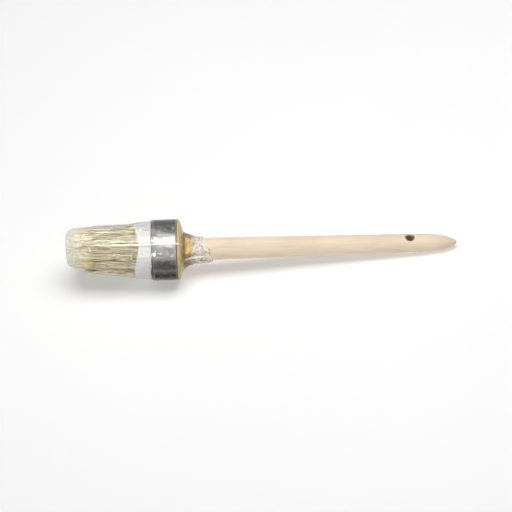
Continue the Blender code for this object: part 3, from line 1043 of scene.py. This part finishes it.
def fold_field(x, angle, radius):
    """Height and milkiness of the single folds."""
    height = np.zeros_like(x)
    milk = np.zeros_like(x)
    for fold_x, fold_angle, heading, half_length, half_width, high, milky in FILM_FOLDS:
        ahead = x - fold_x * MM
        aside = away_from(angle, math.radians(fold_angle)) * radius
        turn = math.radians(heading)
        run = ahead * math.cos(turn) + aside * math.sin(turn)
        off = -ahead * math.sin(turn) + aside * math.cos(turn)
        shape = np.exp(-((off / (half_width * MM)) ** 2)) * rise(np.abs(run), half_length * MM, 0)
        height += high * MM * shape
        milk = np.maximum(milk, milky * np.minimum(1, 1.5 * shape))
    return height, milk


def warped(points, reach, cell, seed):
    """Points moved by noise, so that a pattern made from them looks less even."""
    return points + reach * MM * noise_at(points, cell, seed)[..., None]


def surface_normals(points):
    """Unit normals, facing out, of a surface that is given as rings of points."""
    down = np.gradient(points, axis=0)
    around = (np.roll(points, -1, axis=1) - np.roll(points, 1, axis=1)) / 2
    normal = np.cross(around, down)
    return normal / np.maximum(np.linalg.norm(normal, axis=-1, keepdims=True), 1e-12)


def film_regions(x):
    """How far the film at x is on the bristles, on the flat face, on the metal and on the neck."""
    on_bristles = rise_mm(x, 50, 44)
    on_face = rise_mm(x, 3, 0)
    on_metal = rise_mm(x, 56, 59) * rise_mm(x, 76, 73)
    on_neck = rise_mm(x, 77, 84)
    return on_bristles, on_face, on_metal, on_neck


def film_wrinkles(smooth, bent, crushed):
    """How far wrinkles move the film out: along the bristles, over the metal and thread, and at the neck."""
    on_bristles, on_face, on_metal, on_neck = film_regions(smooth[..., 0])
    on_band = np.clip(1 - on_bristles - on_metal - on_neck, 0, 1)
    long_wrinkle = crest(noise_at(bent, (13, 2.6, 2.6), 41), 5) * 0.26
    fine_wrinkle = crest(noise_at(bent, (3.5, 1.5, 1.5), 42), 3) * 0.20
    ripple = noise_at(smooth, 1.4, 43) * 0.07
    bristly = long_wrinkle + fine_wrinkle + ripple
    metal = crest(noise_at(bent, (3.2, 5, 5), 44), 6) * 0.08 + noise_at(smooth, (1.8, 1.2, 1.2), 45) * 0.085
    crumple = crest(noise_at(crushed, 3.0, 47), 2) * 0.42 + crest(noise_at(crushed, 1.25, 48), 2) * 0.32
    crumple += noise_at(smooth, 0.9, 49) * 0.07 - 0.25
    height = bristly * on_bristles * (1 - 0.6 * on_face) + metal * (on_metal + on_band) + crumple * on_neck
    return height * MM


def seam_at(x, angle, radius):
    """1 along the welded seam, falling away to 0 on both sides."""
    offset = away_from(angle, SEAM_ANGLE) * radius
    run = rise_mm(x, 41, 45.5) * rise_mm(x, 78.5, 76.5)
    return np.exp(-np.abs(offset / SEAM_HALF_WIDTH) ** 3) * run


def film_milk(x, bent, crushed, points, seam, fold_milk):
    """How milky the film is, from 0 to 1, which is as milky as the strongest of its causes makes it."""
    on_bristles, on_face, on_metal, on_neck = film_regions(x)
    at_tip = rise_mm(x, 13, 1) * (0.05 + 0.42 * crest(noise_at(bent, (1.6, 0.9, 0.9), 51), 2))
    specks = 0.05 + 0.66 * crest(noise_at(crushed, 1.25, 48), 2)
    ragged = x + 2.0 * MM * noise_at(points, 2.6, 58)
    causes = [
        0.02 + 0.08 * on_face + at_tip,
        seam * (0.95 - 0.30 * on_bristles),
        fold_milk,
        on_bristles * crest(noise_at(bent, (13, 2.6, 2.6), 41), 9) * 0.34,
        on_metal * (0.01 + 0.09 * crest(noise_at(bent, (2.4, 1.4, 1.4), 55), 4)),
        on_neck * specks * rise_mm(ragged, 82, 84.6),
        rise_mm(np.abs(x - 77.2 * MM), 0.7, 0.2) * 0.22,
        rise_mm(x, 96.6, 98) * 0.6,
    ]
    # The milky rings at sharp bends are partly painted highlight.
    for ring_x, half_width, ring_milk in FILM_RINGS:
        causes.append(np.exp(-(((x - ring_x * MM) / (half_width * MM)) ** 2)) * ring_milk)
    return np.maximum.reduce(causes)


def film_layers(x, angle, crushed):
    """How dark the film's see-through colour is, from 0 to 1: where film lies over itself at the neck, and
    over the cap's shoulder, where it is partly painted shade. One side has a clear window over the cap's
    collar.
    """
    on_neck = film_regions(x)[-1]
    # Painted shade in part: the film over the cap's shoulder is darkened for shade as well as for film lying
    # over itself.
    gathered = rise_mm(x, 76.4, 77.4) * rise_mm(x, 90, 84)
    window = rise(np.abs(away_from(angle, WINDOW_ANGLE)), math.radians(38), math.radians(26))
    doubled = on_neck * 0.75 * rise(noise_at(crushed, 1.1, 54), -0.3, 0.45)
    return np.maximum(gathered * 0.84 * (1 - window * rise_mm(x, 79.2, 80.6)), doubled)


def film_mouth(angle):
    """How far along x the mouth's edge is moved: unevenly, and further forward on the view's upper side."""
    upper = (1 + np.cos(angle - UP_ANGLE)) / 2
    uneven = noise_at(outward(angle) * 9 * MM, 3.2, 53) * 1.0 * MM
    return uneven - 0.6 * MM - 5.5 * MM * rise(upper, 0.35, 0.8)


def make_film():
    """The shrink-wrap bag: wrinkled along the bristles, tight on the ferrule, crumpled at the neck."""
    columns = 264
    even = np.linspace(-math.pi, math.pi, columns, endpoint=False)
    angles = SEAM_ANGLE + even - 0.5 * np.sin(even)
    smooth = film_points(angles)
    bent = warped(smooth, 1.2, 6, 40)
    crushed = warped(smooth, 1.5, 3.5, 46)
    x = smooth[..., 0]
    angle = np.broadcast_to(angles, x.shape)
    radius = np.linalg.norm(smooth[..., 1:], axis=-1)
    seam = seam_at(x, angle, radius)
    folds, fold_milk = fold_field(x, angle, radius)
    height = film_wrinkles(smooth, bent, crushed)
    height += folds + seam * SEAM_HEIGHT
    points = smooth + surface_normals(smooth) * height[..., None]
    milk = film_milk(x, bent, crushed, points, seam, fold_milk)
    layers_and_shade = film_layers(x, angle, crushed)
    points[..., 0] += film_mouth(angle) * rise_mm(x, 84, 98)
    faces = grid_faces(len(points), columns)
    verts, faces = ring_faces_closed(points.reshape(-1, 3), faces, columns, rear=False)
    film = new_object("shrink_film", verts, faces, film_material())
    store(film, "milk", np.append(milk.reshape(-1), milk[0, 0]))
    store(film, "layers_and_shade", np.append(layers_and_shade.reshape(-1), 0))
    film.visible_shadow = False
    film.visible_diffuse = False
    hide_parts("film_sleeve")


def make_compound():
    """The setting compound keeps its CAD mesh and gets its resin."""
    compound = frame["nodes"]["setting_compound"]
    compound.data.materials.clear()
    compound.data.materials.append(resin_material())


# ---------------- stage


def make_floor():
    """A large pale sheet that touches the head's underside and the handle's tail."""
    touch_x, touch_z = 74 * MM, -FERRULE_RADIUS - 0.55 * MM
    tail_x, tail_z = HANDLE_HIGH.x - 15 * MM, -5.55 * MM
    slope = (tail_z - touch_z) / (tail_x - touch_x)
    reach = 4.0
    verts = []
    for x, y in ((-reach, -reach), (reach, -reach), (reach, reach), (-reach, reach)):
        verts.append((x, y, touch_z + slope * (x - touch_x)))
    floor = new_object("floor", verts, [(0, 1, 2, 3)], floor_material(), body=None)
    floor.visible_glossy = False
    return floor


# How bright the surroundings are, by the angle over the brush in degrees: 0 is the camera's side, 90
# overhead, 180 the far side. The steps put the bands on the ferrule where the photograph has them.
STUDIO = (
    (-180, 0.52), (-158, 0.62), (-134, 0.85), (-112, 0.55), (-90, 0.36), (-72, 0.045), (-52, 0.045),
    (-43, 0.95), (-35, 0.12), (-20, 0.10), (0, 0.17), (9, 0.40), (18, 0.50), (44, 0.53),
    (58, 0.72), (104, 0.50), (116, 0.32), (134, 0.20), (149, 0.66), (162, 0.14), (176, 0.62),
)


def make_world():
    """The studio that shiny surfaces reflect. The camera sees an even pale grey in its place."""
    n = Nodes("studio", "World")
    generated = n.add("ShaderNodeTexCoord").outputs["Generated"]
    direction = n.add("ShaderNodeSeparateXYZ", Vector=generated).outputs
    angle = n.maths("ARCTAN2", direction["Z"], n.maths("MULTIPLY", direction["Y"], -1))
    stops = [((degrees + 180) / 360, bright) for degrees, bright in STUDIO]
    studio = n.shader("ShaderNodeBackground", Color=n.ramp(n.span(angle, -math.pi, math.pi), *stops))
    pale = n.shader("ShaderNodeBackground", Color=(0.95, 0.95, 0.95))
    seen = n.add("ShaderNodeLightPath").outputs["Is Camera Ray"]
    world = n.finish(n.mix_shaders(seen, studio, pale))
    bpy.context.scene.world = world
    world.cycles_visibility.diffuse = False


def aim(obj, at):
    """Turns the object so that its -Z axis points at a place."""
    obj.rotation_euler = (Vector(at) - obj.location).to_track_quat("-Z", "Y").to_euler()


def rectangle_light(name, degrees, wide, deep, power, x):
    """A rectangular light at an angle over the brush, as in STUDIO. It faces the brush's middle."""
    data = bpy.data.lights.new(name, "AREA")
    data.shape = "RECTANGLE"
    data.size = wide
    data.size_y = deep
    data.energy = power
    light = bpy.data.objects.new(name, data)
    angle = math.radians(degrees)
    light.location = (x, -LIGHT_DISTANCE * math.cos(angle), LIGHT_DISTANCE * math.sin(angle))
    bpy.context.scene.collection.objects.link(light)
    aim(light, (BRUSH_MIDDLE_X, 0, 0))
    return light


def reflected_light(name, degrees, wide, deep, radiance, x=BRUSH_MIDDLE_X):
    """A light that shows in shiny surfaces only."""
    light = rectangle_light(name, degrees, wide, deep, radiance * math.pi * wide * deep, x)
    light.visible_diffuse = False


def matt_light(name, degrees, wide, deep, share, x=BRUSH_MIDDLE_X):
    """A light that shiny surfaces don't show. It lights a white surface facing it to this share of white."""
    light = rectangle_light(name, degrees, wide, deep, share * (math.pi * LIGHT_DISTANCE) ** 2, x)
    light.visible_glossy = False
    return light


def keep_off(light, thing):
    """Stops a light from reaching one object."""
    receivers = bpy.data.collections.new(light.name + "_receivers")
    receivers.objects.link(thing)
    receivers.collection_objects[0].light_linking.link_state = "EXCLUDE"
    light.light_linking.receiver_collection = receivers


def make_lights(floor):
    """Lights that only metal and film show, and soft light from above and three sides for the rest."""
    reflected_light("overhead_reflection", 84, 1.2, 0.70, 0.98)
    for degrees, radiance in ((30, 16.0), (84, 34.0), (128, 13.0)):
        reflected_light(f"sparkle_reflection_{degrees}", degrees, 0.14, 0.16, radiance, x=-0.16)
    matt_light("key", 93, 0.9, 0.55, 0.95)
    fills = (
        matt_light("front_fill", 15, 0.9, 0.5, 0.47),
        matt_light("back_fill", 140, 0.9, 0.4, 0.42),
        matt_light("tip_fill", 55, 0.6, 0.5, 0.85, x=-0.9),
    )
    for fill in fills:
        keep_off(fill, floor)


def make_camera():
    """A long lens, square to the brush's axis, rolled so that the handle rises a little to the right."""
    data = bpy.data.cameras.new("camera")
    data.lens = 300
    data.sensor_width = 36
    data.clip_end = 20
    camera = bpy.data.objects.new("camera", data)
    back = Vector((0, -math.cos(VIEW_ELEVATION), math.sin(VIEW_ELEVATION)))
    upper = Vector(outward(UP_ANGLE))
    along_x = Vector((1, 0, 0))
    right = along_x * math.cos(VIEW_ROLL) - upper * math.sin(VIEW_ROLL)
    up = upper * math.cos(VIEW_ROLL) + along_x * math.sin(VIEW_ROLL)
    middle = Vector((VIEW_MIDDLE_X, 0, 0)) - up * VIEW_MIDDLE_DROP
    camera.location = middle + back * VIEW_WIDTH * data.lens / data.sensor_width
    camera.rotation_euler = Matrix(np.array([right, up, back]).T.tolist()).to_euler()
    bpy.context.scene.collection.objects.link(camera)
    bpy.context.scene.camera = camera


make_camera()
make_world()
make_lights(make_floor())
cotton = cotton_material()
make_handle()
make_ferrule()
make_end_cap()
make_winding(cotton)
make_lashing(cotton)
make_bristle_core()
bristle = bristle_material()
make_bristles(bristle)
make_stray_bristles(bristle)
make_film()
make_compound()

bpy.context.scene.view_settings.view_transform = "Standard"
